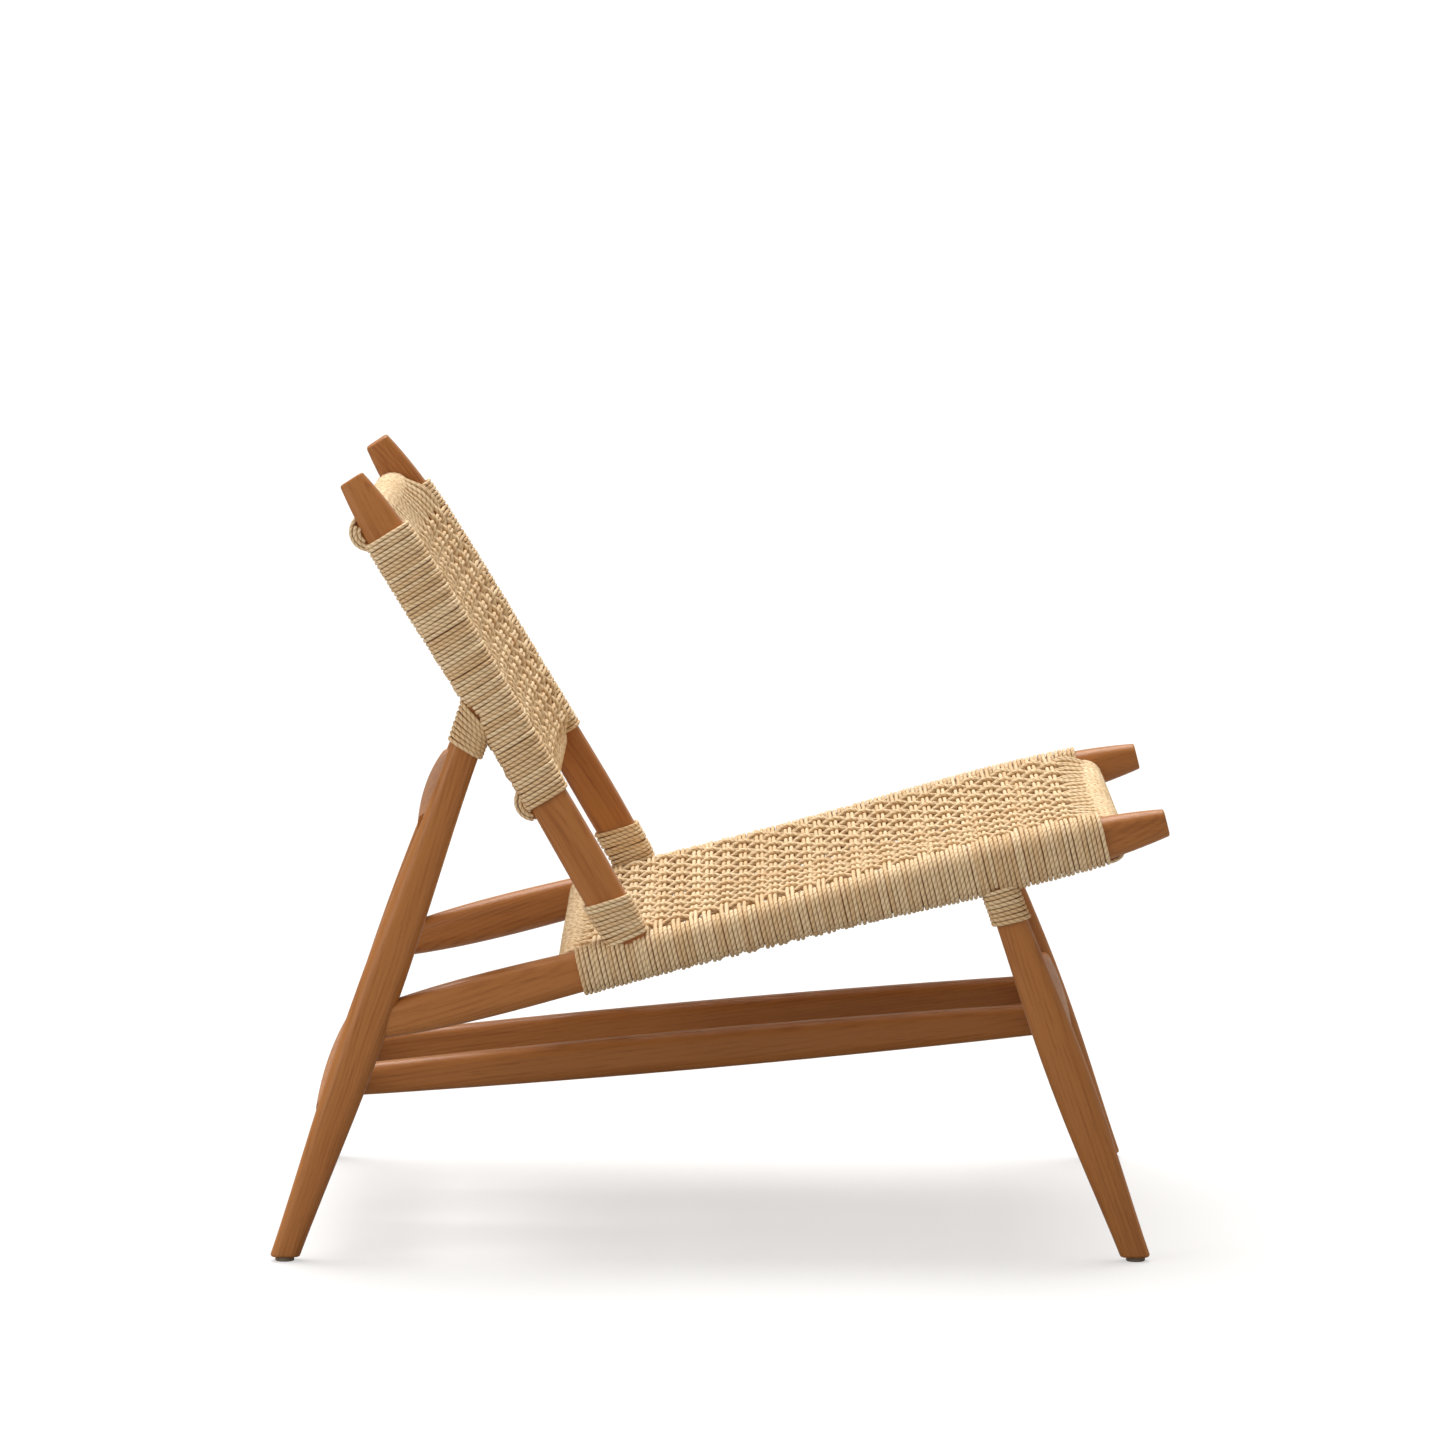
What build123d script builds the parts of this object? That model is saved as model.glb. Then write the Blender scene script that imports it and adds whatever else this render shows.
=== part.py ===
from build123d import *
import os
from math import cos, radians, sin, tan

# Low lounge chair without arms: a solid wood frame whose seat and back are woven from twisted cord.
# Millimetres. +X is forward, +Y is the sitter's left, +Z is up, and the glides stand on Z = 0.

# Side rails, which run under the seat from the rear legs to the free noses in front
seat_width = 558.0  # between the rails' centre lines at the noses
rail_flare = 0.01  # how much each rail moves outwards for each millimetre towards the back
nose_height = 390.7
seat_slope = 14.3  # degrees
nose_reach = 54.8  # from the nose's tip back to the front seat bar
seat_run = 486.4  # from the front seat bar to the rear seat bar, along the rail
rail_nose_size = 24.0
rail_seat_size = 37.5
rail_back_size = 36.5  # at the rear seat bar
rail_rear_size = 26.5
rail_side_share = 0.86  # thickness across the chair over thickness in side view
rail_corner_share = 0.34  # corner radius over thickness

# Uprights, which stand in the rails and carry the back
upright_set = 56.0  # upright's foot in front of the rear seat bar, along the rail
back_angle = 31.06  # degrees from vertical
back_length = 494.4  # upright's foot to its tip
upright_bow = 4.5  # how far the middle curves forward
tip_draw_in = 28.0  # how far each tip stands inside the rail's nose line
upright_foot_size = 29.5
upright_lower_size = 35.0
upright_upper_size = 35.5
upright_top_size = 34.5  # at the top back bar
upright_tip_size = 23.0
upright_side_share = 0.88
upright_corner_share = 0.24

# Legs
front_leg_set = 106.0  # front leg behind the front seat bar, along the rail
front_leg_lean = 20.4  # degrees from vertical, foot forward
rear_leg_meet = 271.0  # from the upright's foot up to the rear leg
rear_leg_lean = 19.65  # degrees from vertical, foot back
foot_flare = 22.5  # how far each foot stands outside the rail's nose line
foot_size = 25.0
leg_belly_size = 37.0
leg_belly_height = 165.0
front_leg_top_size = 26.5
rear_leg_top_size = 31.0
leg_side_share = 0.92
leg_corner_share = 0.32

# Stretchers
rear_low_height = 131.6  # lower cross stretcher on the rear legs
rear_high_height = 386.0  # upper cross stretcher on the rear legs
rear_cross_set_back = 4.0  # behind the leg's centre line
front_low_height = 190.0  # cross stretcher between the front legs
long_stretcher_spacing = 194.0
stretcher_end_size = 27.0
stretcher_belly_size = 35.0
stretcher_side_share = 0.9
stretcher_corner_share = 0.3

# Bars that the cords are strung over
bar_diameter = 28.0
front_bar_drop = 6.3  # front seat bar's centre under the rail's centre line
rear_bar_rise = 2.0
back_bar_set_back = 12.0  # back bars' centres behind the upright's centre line
lower_bar_reach = 166.0  # lower back bar, along the upright from its foot
tip_reach = 48.0  # from the top back bar to the upright's tip
top_bar_reach = back_length - tip_reach
bar_tenon_diameter = 12.0
bar_tenon_set_back = 5.0  # back bars' tenons behind the upright's centre line

# Joints
tenon_diameter = 16.0
tenon_reach = 8.0  # how far a tenon passes its host's centre line
tenon_root = 60.0  # how far back inside its own member a tenon starts
mortise_end_gap = 0.5
fit_gap = 0.1  # radial, tenon in mortise
shoulder_gap = 0.1

# Cord
cord_diameter = 3.2
cord_gap = 0.3  # between cord and wood, and between neighbouring cord pieces
weave_thickness = 9.0
seat_wrap_inset = 2.5  # rail's wrapping ends this far inside the seat bars' centres
back_wrap_drop = 3.0  # upright's wrapping starts this far below the lower back bar's centre
back_wrap_inset = 10.0  # and ends this far below the top back bar's centre
upright_collar_height = 60.0
front_leg_collar_height = 54.0
rear_leg_collar_height = 44.0
rear_collar_tilt = 16.0  # degrees that the rear collar's lower edge drops towards the front

# Glides
glide_diameter = 17.0
glide_thickness = 4.0
glide_stem_diameter = 5.0
glide_stem_length = 14.0
glide_edge = 1.0

end_round = 2.2  # softened edges at tips, noses and feet


# Side view: where each centre line runs, with the nose's tip at x = 0


def rail_side(distance, rise=0.0):
    """Point on a rail's centre line, this far back from its nose and this far above the line."""
    slope = radians(seat_slope)
    x = -distance * cos(slope) - rise * sin(slope)
    return x, nose_height - distance * sin(slope) + rise * cos(slope)


rear_bar_at = nose_reach + seat_run
upright_at = rear_bar_at - upright_set
front_leg_at = nose_reach + front_leg_set
upright_foot_x, upright_foot_z = rail_side(upright_at)


def upright_side(distance, set_back=0.0):
    """Point on an upright's bowed centre line, this far up from its foot and this far behind it."""
    lean = radians(back_angle)
    share = distance / back_length
    forward = 4 * upright_bow * share * (1 - share) - set_back
    x = upright_foot_x - distance * sin(lean) + forward * cos(lean)
    return x, upright_foot_z + distance * cos(lean) + forward * sin(lean)


rear_top_x, rear_top_z = upright_side(rear_leg_meet)
front_top_x, front_top_z = rail_side(front_leg_at)
rear_foot_x = rear_top_x - rear_top_z * tan(radians(rear_leg_lean))
front_foot_x = front_top_x + front_top_z * tan(radians(front_leg_lean))

# The rear end of the rail is where its line crosses the rear leg's line
rear_leg_slope = tan(radians(rear_leg_lean))
rail_end_x = (rear_foot_x + rear_leg_slope * nose_height) / (1 - rear_leg_slope * tan(radians(seat_slope)))
rail_length = -rail_end_x / cos(radians(seat_slope))

# The origin is the middle of the footprint's length
back_extent = rear_foot_x - foot_size / 2 / cos(radians(rear_leg_lean)) + glide_thickness * rear_leg_slope
front_extent = rail_nose_size / 2 * sin(radians(seat_slope))
centre_x = (back_extent + front_extent) / 2


# The right side in space: y is negative on the sitter's right


def rail_point(distance, rise=0.0):
    x, z = rail_side(distance, rise)
    return Vector(x - centre_x, -(seat_width / 2 + distance * rail_flare), z)


def upright_point(distance, set_back=0.0):
    x, z = upright_side(distance, set_back)
    foot_y = seat_width / 2 + upright_at * rail_flare
    tip_y = seat_width / 2 - tip_draw_in
    return Vector(x - centre_x, -(foot_y + (tip_y - foot_y) * distance / back_length), z)


foot_y = -(seat_width / 2 + foot_flare)
rear_foot = Vector(rear_foot_x - centre_x, foot_y, 0)
front_foot = Vector(front_foot_x - centre_x, foot_y, 0)
rear_top = upright_point(rear_leg_meet)
front_top = rail_point(front_leg_at)
rail_end = rail_point(rail_length)


def leg_point(foot, top, height):
    return foot + (top - foot) * (height / top.Z)


def across(point):
    """The same point on the other side of the chair."""
    return Vector(point.X, -point.Y, point.Z)


# Shapes that repeat


def section_plane(point, direction):
    """Plane square to a member, with its x axis in the side view."""
    runs_across = direction.X == 0 and direction.Z == 0
    x_dir = Vector(1, 0, 0) if runs_across else Vector(0, 1, 0).cross(direction)
    return Plane(origin=point, x_dir=x_dir, z_dir=direction)


def timber(stations, side_share, corner_share, grow=0.0):
    """Shaped member through stations of (point, direction, thickness), made thicker all round by grow."""
    with BuildPart() as piece:
        for point, direction, size in stations:
            wide = size + 2 * grow
            deep = size * side_share + 2 * grow
            with BuildSketch(section_plane(point, direction)):
                RectangleRounded(wide, deep, size * corner_share + grow)
        loft()
    return piece.part


def rod(start, end, diameter):
    with BuildPart() as piece:
        with BuildSketch(Plane(origin=start, z_dir=end - start)):
            Circle(diameter / 2)
        extrude(amount=(end - start).length)
    return piece.part


def tenon_pair(inside, joint, diameter):
    """Tenon along the line from inside its member through the joint, and the mortise that takes it."""
    direction = (joint - inside).normalized()
    root = joint - direction * tenon_root
    end = joint + direction * tenon_reach
    return rod(root, end, diameter), rod(root, end + direction * mortise_end_gap, diameter + 2 * fit_gap)


def rail_blank(grow=0.0):
    direction = rail_point(0) - rail_end
    plan = (
        (rail_length, rail_rear_size),
        (rear_bar_at, rail_back_size),
        (upright_at - seat_run / 2, rail_seat_size),
        (nose_reach, rail_seat_size),
        (0, rail_nose_size),
    )
    stations = [(rail_point(distance), direction, size) for distance, size in plan]
    return timber(stations, rail_side_share, rail_corner_share, grow)


def upright_blank(grow=0.0):
    plan = (
        (0, upright_foot_size),
        (lower_bar_reach, upright_lower_size),
        (rear_leg_meet, upright_upper_size),
        (top_bar_reach, upright_top_size),
        (back_length, upright_tip_size),
    )
    stations = []
    for distance, size in plan:
        direction = upright_point(distance + 1) - upright_point(distance - 1)
        stations.append((upright_point(distance), direction, size))
    return timber(stations, upright_side_share, upright_corner_share, grow)


def leg_blank(foot, top, top_size, grow=0.0):
    direction = top - foot
    stations = [
        (leg_point(foot, top, -foot_size), direction, foot_size),
        (leg_point(foot, top, 0), direction, foot_size),
        (leg_point(foot, top, leg_belly_height), direction, leg_belly_size),
        (leg_point(foot, top, (leg_belly_height + top.Z) / 2), direction, (leg_belly_size + top_size) / 2),
        (top, direction, top_size),
    ]
    return timber(stations, leg_side_share, leg_corner_share, grow)


def stretcher_blank(start, end, grow=0.0):
    direction = end - start
    middle = (start + end) * 0.5
    sizes = ((start, stretcher_end_size), (middle, stretcher_belly_size), (end, stretcher_end_size))
    stations = [(point, direction, size) for point, size in sizes]
    return timber(stations, stretcher_side_share, stretcher_corner_share, grow)


# Where the joints are

front_bar_end = rail_point(nose_reach, -front_bar_drop)
rear_bar_end = rail_point(rear_bar_at, rear_bar_rise)
top_bar_end = upright_point(top_bar_reach, back_bar_set_back)
lower_bar_end = upright_point(lower_bar_reach, back_bar_set_back)
top_tenon_end = upright_point(top_bar_reach, bar_tenon_set_back)
lower_tenon_end = upright_point(lower_bar_reach, bar_tenon_set_back)

cross_shift = Vector(-rear_cross_set_back, 0, 0)
rear_low_end = leg_point(rear_foot, rear_top, rear_low_height) + cross_shift
rear_high_end = leg_point(rear_foot, rear_top, rear_high_height) + cross_shift
front_low_end = leg_point(front_foot, front_top, front_low_height)
long_rear_end = Vector(rear_low_end.X, -long_stretcher_spacing / 2, rear_low_end.Z)
long_front_end = Vector(front_low_end.X, -long_stretcher_spacing / 2, front_low_end.Z)


def middle_of(point):
    """The point's place on the chair's plane of symmetry."""
    return Vector(point.X, 0, point.Z)


def cross_tenon(end, diameter):
    """Tenon and mortise at the right end of a straight crosspiece."""
    return tenon_pair(middle_of(end), end, diameter)


leg_tenon, leg_mortise = tenon_pair(front_foot, front_top, tenon_diameter)
rear_tenon, rear_mortise = tenon_pair(rear_foot, rear_top, tenon_diameter)
rail_tenon, rail_mortise = tenon_pair(rail_point(0), rail_end, tenon_diameter)
foot_tenon, foot_mortise = tenon_pair(upright_point(tenon_root), upright_point(0), tenon_diameter)
front_bar_tenon, front_bar_mortise = cross_tenon(front_bar_end, bar_tenon_diameter)
rear_bar_tenon, rear_bar_mortise = cross_tenon(rear_bar_end, bar_tenon_diameter)
top_bar_tenon, top_bar_mortise = cross_tenon(top_tenon_end, bar_tenon_diameter)
lower_bar_tenon, lower_bar_mortise = cross_tenon(lower_tenon_end, bar_tenon_diameter)
rear_low_tenon, rear_low_mortise = cross_tenon(rear_low_end, tenon_diameter)
rear_high_tenon, rear_high_mortise = cross_tenon(rear_high_end, tenon_diameter)
front_low_tenon, front_low_mortise = cross_tenon(front_low_end, tenon_diameter)
long_rear_tenon, long_rear_mortise = tenon_pair(long_front_end, long_rear_end, bar_tenon_diameter)
long_front_tenon, long_front_mortise = tenon_pair(long_rear_end, long_front_end, bar_tenon_diameter)

# Blanks, and the same blanks made larger for the pieces that fit against them

cord_outside = cord_gap + cord_diameter  # outer face of a wrapping, from the wood
cord_room = cord_outside + cord_gap


def front_leg_blank(grow=0.0):
    return leg_blank(front_foot, front_top, front_leg_top_size, grow)


def rear_leg_blank(grow=0.0):
    return leg_blank(rear_foot, rear_top, rear_leg_top_size, grow)


rail_room = rail_blank(shoulder_gap)
upright_room = upright_blank(shoulder_gap)
front_leg_room = front_leg_blank(shoulder_gap)
rear_leg_room = rear_leg_blank(shoulder_gap)

# Side rails and uprights

with BuildPart() as seat_rail_right:
    add(rail_blank())
    nose_face = seat_rail_right.faces().sort_by(Axis.X)[-1]
    fillet(nose_face.edges(), end_round)
    add(rear_leg_room, mode=Mode.SUBTRACT)
    add(rail_tenon)
    for mortise in (leg_mortise, foot_mortise, front_bar_mortise, rear_bar_mortise):
        add(mortise, mode=Mode.SUBTRACT)

with BuildPart() as seat_rail_left:
    mirror(seat_rail_right.part, about=Plane.XZ)

with BuildPart() as upright_right:
    add(upright_blank())
    tip_face = upright_right.faces().sort_by(Axis.Z)[-1]
    fillet(tip_face.edges(), end_round)
    add(rail_room, mode=Mode.SUBTRACT)
    add(foot_tenon)
    for mortise in (rear_mortise, top_bar_mortise, lower_bar_mortise):
        add(mortise, mode=Mode.SUBTRACT)

with BuildPart() as upright_left:
    mirror(upright_right.part, about=Plane.XZ)

# Legs and their glides

stem_top = glide_thickness + glide_stem_length
front_glide_at = leg_point(front_foot, front_top, glide_thickness)
rear_glide_at = leg_point(rear_foot, rear_top, glide_thickness)


def stem_hole(glide_at):
    """Hole in the leg for the stem of its glide."""
    start = Vector(glide_at.X, glide_at.Y, 0)
    end = Vector(glide_at.X, glide_at.Y, stem_top + mortise_end_gap)
    return rod(start, end, glide_stem_diameter + 2 * fit_gap)


with BuildPart() as front_leg_right:
    add(front_leg_blank())
    split(bisect_by=Plane.XY.offset(glide_thickness), keep=Keep.TOP)
    fillet(front_leg_right.faces().sort_by(Axis.Z)[0].edges(), end_round)
    add(rail_room, mode=Mode.SUBTRACT)
    add(leg_tenon)
    add(front_low_mortise, mode=Mode.SUBTRACT)
    add(stem_hole(front_glide_at), mode=Mode.SUBTRACT)

with BuildPart() as front_leg_left:
    mirror(front_leg_right.part, about=Plane.XZ)

with BuildPart() as rear_leg_right:
    add(rear_leg_blank())
    split(bisect_by=Plane.XY.offset(glide_thickness), keep=Keep.TOP)
    fillet(rear_leg_right.faces().sort_by(Axis.Z)[0].edges(), end_round)
    add(upright_room, mode=Mode.SUBTRACT)
    add(rear_tenon)
    for mortise in (rail_mortise, rear_low_mortise, rear_high_mortise):
        add(mortise, mode=Mode.SUBTRACT)
    add(stem_hole(rear_glide_at), mode=Mode.SUBTRACT)

with BuildPart() as rear_leg_left:
    mirror(rear_leg_right.part, about=Plane.XZ)


def glide(glide_at):
    """Round glide with its stem, under one foot."""
    with BuildPart() as piece:
        with BuildSketch(Plane(origin=(glide_at.X, glide_at.Y, 0))):
            Circle(glide_diameter / 2)
        extrude(amount=glide_thickness)
        fillet(piece.edges().sort_by(Axis.Z)[0], glide_edge)
        with BuildSketch(Plane(origin=(glide_at.X, glide_at.Y, glide_thickness))):
            Circle(glide_stem_diameter / 2)
        extrude(amount=glide_stem_length)
    return piece.part


front_glide_right = glide(front_glide_at)
front_glide_left = glide(across(front_glide_at))
rear_glide_right = glide(rear_glide_at)
rear_glide_left = glide(across(rear_glide_at))

# Stretchers


def cross_stretcher(end, leg_room, tenon):
    """Right half of a crosspiece between two legs, then its mirror image."""
    with BuildPart() as piece:
        add(stretcher_blank(across(end), end))
        add(leg_room, mode=Mode.SUBTRACT)
        mirror(leg_room, about=Plane.XZ, mode=Mode.SUBTRACT)
        add(tenon)
        mirror(tenon, about=Plane.XZ)
    return piece.part


with BuildPart() as rear_low_stretcher:
    add(cross_stretcher(rear_low_end, rear_leg_room, rear_low_tenon))
    add(long_rear_mortise, mode=Mode.SUBTRACT)
    mirror(long_rear_mortise, about=Plane.XZ, mode=Mode.SUBTRACT)

with BuildPart() as rear_high_stretcher:
    add(cross_stretcher(rear_high_end, rear_leg_room, rear_high_tenon))

with BuildPart() as front_low_stretcher:
    add(cross_stretcher(front_low_end, front_leg_room, front_low_tenon))
    add(long_front_mortise, mode=Mode.SUBTRACT)
    mirror(long_front_mortise, about=Plane.XZ, mode=Mode.SUBTRACT)


def cross_room(end):
    """A cross stretcher's blank, with room for the pieces that butt against it."""
    return stretcher_blank(across(end), end, shoulder_gap)


with BuildPart() as long_stretcher_right:
    add(stretcher_blank(long_rear_end, long_front_end))
    add(cross_room(rear_low_end), mode=Mode.SUBTRACT)
    add(cross_room(front_low_end), mode=Mode.SUBTRACT)
    add(long_rear_tenon)
    add(long_front_tenon)

with BuildPart() as long_stretcher_left:
    mirror(long_stretcher_right.part, about=Plane.XZ)

# Bars under the cords


def bar(end, host_room, tenon):
    """Round bar across the chair, with a tenon at each end."""
    with BuildPart() as piece:
        add(rod(middle_of(end), end, bar_diameter))
        add(host_room, mode=Mode.SUBTRACT)
        add(tenon)
        mirror(about=Plane.XZ)
    return piece.part


with BuildPart() as front_seat_bar:
    add(bar(front_bar_end, rail_room, front_bar_tenon))

with BuildPart() as rear_seat_bar:
    add(bar(rear_bar_end, rail_room, rear_bar_tenon))

with BuildPart() as top_back_bar:
    add(bar(top_bar_end, upright_room, top_bar_tenon))

with BuildPart() as lower_back_bar:
    add(bar(lower_bar_end, upright_room, lower_bar_tenon))

# Cord wrappings, as plain sleeves with the outer size of the wound cord

rail_outside = rail_blank(cord_outside)
rail_cord_room = rail_blank(cord_room)
upright_outside = upright_blank(cord_outside)
upright_cord_room = upright_blank(cord_room)
upright_cord_inside = upright_blank(cord_gap)
front_leg_cord_inside = front_leg_blank(cord_gap)
rear_leg_cord_inside = rear_leg_blank(cord_gap)
bar_room_diameter = bar_diameter + 2 * cord_gap


def bar_room(end):
    return rod(middle_of(end), end, bar_room_diameter)


def cut_plane(point, towards):
    """Plane at the point, square to the line to the other point, which is on its top side."""
    return Plane(origin=point, z_dir=towards - point)


rail_wrap_rear = rail_point(rear_bar_at - seat_wrap_inset)
rail_wrap_front = rail_point(nose_reach + seat_wrap_inset)

with BuildPart() as seat_rail_wrap_right:
    add(rail_outside)
    add(rail_blank(cord_gap), mode=Mode.SUBTRACT)
    split(bisect_by=cut_plane(rail_wrap_rear, rail_wrap_front), keep=Keep.TOP)
    split(bisect_by=cut_plane(rail_wrap_front, rail_wrap_rear), keep=Keep.TOP)
    seat_bar_rooms = (bar_room(front_bar_end), bar_room(rear_bar_end))
    for hole in (upright_cord_inside, front_leg_cord_inside, *seat_bar_rooms):
        add(hole, mode=Mode.SUBTRACT)

with BuildPart() as seat_rail_wrap_left:
    mirror(seat_rail_wrap_right.part, about=Plane.XZ)

upright_wrap_low = upright_point(lower_bar_reach - back_wrap_drop)
upright_wrap_high = upright_point(top_bar_reach - back_wrap_inset)

with BuildPart() as upright_wrap_right:
    add(upright_outside)
    add(upright_cord_inside, mode=Mode.SUBTRACT)
    split(bisect_by=cut_plane(upright_wrap_low, upright_wrap_high), keep=Keep.TOP)
    split(bisect_by=cut_plane(upright_wrap_high, upright_wrap_low), keep=Keep.TOP)
    for hole in (rear_leg_cord_inside, bar_room(top_bar_end), bar_room(lower_bar_end)):
        add(hole, mode=Mode.SUBTRACT)

with BuildPart() as upright_wrap_left:
    mirror(upright_wrap_right.part, about=Plane.XZ)


def bar_wrap(end, host_cord_room):
    """Wrapping of a bar between the wrappings of its two hosts."""
    with BuildPart() as piece:
        add(rod(middle_of(end), end, bar_diameter + 2 * cord_outside))
        add(bar_room(end), mode=Mode.SUBTRACT)
        add(host_cord_room, mode=Mode.SUBTRACT)
        mirror(about=Plane.XZ)
    return piece.part


with BuildPart() as front_seat_bar_wrap:
    add(bar_wrap(front_bar_end, rail_cord_room))

with BuildPart() as rear_seat_bar_wrap:
    add(bar_wrap(rear_bar_end, rail_cord_room))

with BuildPart() as top_back_bar_wrap:
    add(bar_wrap(top_bar_end, upright_cord_room))

with BuildPart() as lower_back_bar_wrap:
    add(bar_wrap(lower_bar_end, upright_cord_room))

# Cord collars round the three joints on each side

with BuildPart() as upright_collar_right:
    add(upright_outside)
    add(upright_cord_inside, mode=Mode.SUBTRACT)
    split(bisect_by=cut_plane(upright_point(upright_collar_height), upright_point(0)), keep=Keep.TOP)
    add(rail_cord_room, mode=Mode.SUBTRACT)

with BuildPart() as upright_collar_left:
    mirror(upright_collar_right.part, about=Plane.XZ)

front_collar_end = front_top + (front_foot - front_top).normalized() * front_leg_collar_height

with BuildPart() as front_leg_collar_right:
    add(front_leg_blank(cord_outside))
    add(front_leg_cord_inside, mode=Mode.SUBTRACT)
    split(bisect_by=cut_plane(front_collar_end, front_top), keep=Keep.TOP)
    add(rail_cord_room, mode=Mode.SUBTRACT)

with BuildPart() as front_leg_collar_left:
    mirror(front_leg_collar_right.part, about=Plane.XZ)

rear_collar_end = rear_top + (rear_foot - rear_top).normalized() * rear_leg_collar_height
rear_collar_up = (rear_top - rear_foot).rotate(Axis.Y, rear_collar_tilt)

with BuildPart() as rear_leg_collar_right:
    add(rear_leg_blank(cord_outside))
    add(rear_leg_cord_inside, mode=Mode.SUBTRACT)
    split(bisect_by=Plane(origin=rear_collar_end, z_dir=rear_collar_up), keep=Keep.TOP)
    add(upright_cord_room, mode=Mode.SUBTRACT)

with BuildPart() as rear_leg_collar_left:
    mirror(rear_leg_collar_right.part, about=Plane.XZ)

# Woven panels, as plain slabs level with the outside of the bars' wrapping. The cords go round the
# bars, so each panel has an upper and an under layer.

weave_face = bar_diameter / 2 + cord_outside
weave_back = weave_face - weave_thickness
beside_upright = upright_upper_size * upright_side_share / 2 + cord_room
beside_rail = rail_seat_size * rail_side_share / 2 + cord_room


def woven_panel(from_end, to_end, inset, level, rooms):
    """Slab from one bar to the other, this far over the bars' centres and clear of the pieces it passes."""
    run = middle_of(to_end) - middle_of(from_end)
    face = Plane(origin=middle_of(from_end), x_dir=run, z_dir=run.cross(Vector(0, 1, 0)))
    from_half = -from_end.Y - inset
    to_half = -to_end.Y - inset
    corners = ((0, -from_half), (0, from_half), (run.length, to_half), (run.length, -to_half))
    with BuildPart() as piece:
        with BuildSketch(face.offset(level)):
            Polygon(*corners, align=None)
        extrude(amount=weave_thickness)
        for end in (from_end, to_end):
            bar_wrap_room = rod(across(end), end, 2 * (weave_face + cord_gap))
            add(bar_wrap_room, mode=Mode.SUBTRACT)
        for room in rooms:
            add(room, mode=Mode.SUBTRACT)
            mirror(room, about=Plane.XZ, mode=Mode.SUBTRACT)
    return piece.part


seat_rooms = (rail_cord_room, upright_cord_room)

with BuildPart() as seat_weave:
    add(woven_panel(rear_bar_end, front_bar_end, 0, weave_back, seat_rooms))

with BuildPart() as seat_weave_under:
    add(woven_panel(rear_bar_end, front_bar_end, beside_rail, -weave_face, seat_rooms))

with BuildPart() as back_weave:
    add(woven_panel(top_bar_end, lower_bar_end, 0, weave_back, (upright_cord_room,)))

with BuildPart() as back_weave_under:
    add(woven_panel(top_bar_end, lower_bar_end, beside_upright, -weave_face, (upright_cord_room,)))

# Write every piece

pieces = {
    "seat_rail_right": seat_rail_right.part,
    "seat_rail_left": seat_rail_left.part,
    "upright_right": upright_right.part,
    "upright_left": upright_left.part,
    "front_leg_right": front_leg_right.part,
    "front_leg_left": front_leg_left.part,
    "rear_leg_right": rear_leg_right.part,
    "rear_leg_left": rear_leg_left.part,
    "rear_low_stretcher": rear_low_stretcher.part,
    "rear_high_stretcher": rear_high_stretcher.part,
    "front_low_stretcher": front_low_stretcher.part,
    "long_stretcher_right": long_stretcher_right.part,
    "long_stretcher_left": long_stretcher_left.part,
    "front_seat_bar": front_seat_bar.part,
    "rear_seat_bar": rear_seat_bar.part,
    "top_back_bar": top_back_bar.part,
    "lower_back_bar": lower_back_bar.part,
    "front_glide_right": front_glide_right,
    "front_glide_left": front_glide_left,
    "rear_glide_right": rear_glide_right,
    "rear_glide_left": rear_glide_left,
    "seat_weave": seat_weave.part,
    "seat_weave_under": seat_weave_under.part,
    "back_weave": back_weave.part,
    "back_weave_under": back_weave_under.part,
    "seat_rail_wrap_right": seat_rail_wrap_right.part,
    "seat_rail_wrap_left": seat_rail_wrap_left.part,
    "upright_wrap_right": upright_wrap_right.part,
    "upright_wrap_left": upright_wrap_left.part,
    "front_seat_bar_wrap": front_seat_bar_wrap.part,
    "rear_seat_bar_wrap": rear_seat_bar_wrap.part,
    "top_back_bar_wrap": top_back_bar_wrap.part,
    "lower_back_bar_wrap": lower_back_bar_wrap.part,
    "upright_collar_right": upright_collar_right.part,
    "upright_collar_left": upright_collar_left.part,
    "front_leg_collar_right": front_leg_collar_right.part,
    "front_leg_collar_left": front_leg_collar_left.part,
    "rear_leg_collar_right": rear_leg_collar_right.part,
    "rear_leg_collar_left": rear_leg_collar_left.part,
}

os.makedirs("parts", exist_ok=True)
for name, piece in pieces.items():
    piece.label = name
    export_step(piece, f"parts/{name}.step")
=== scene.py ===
import bpy
import numpy as np
from math import cos, sin, pi, radians
from mathutils import Matrix, Vector
from mathutils.bvhtree import BVHTree


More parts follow.
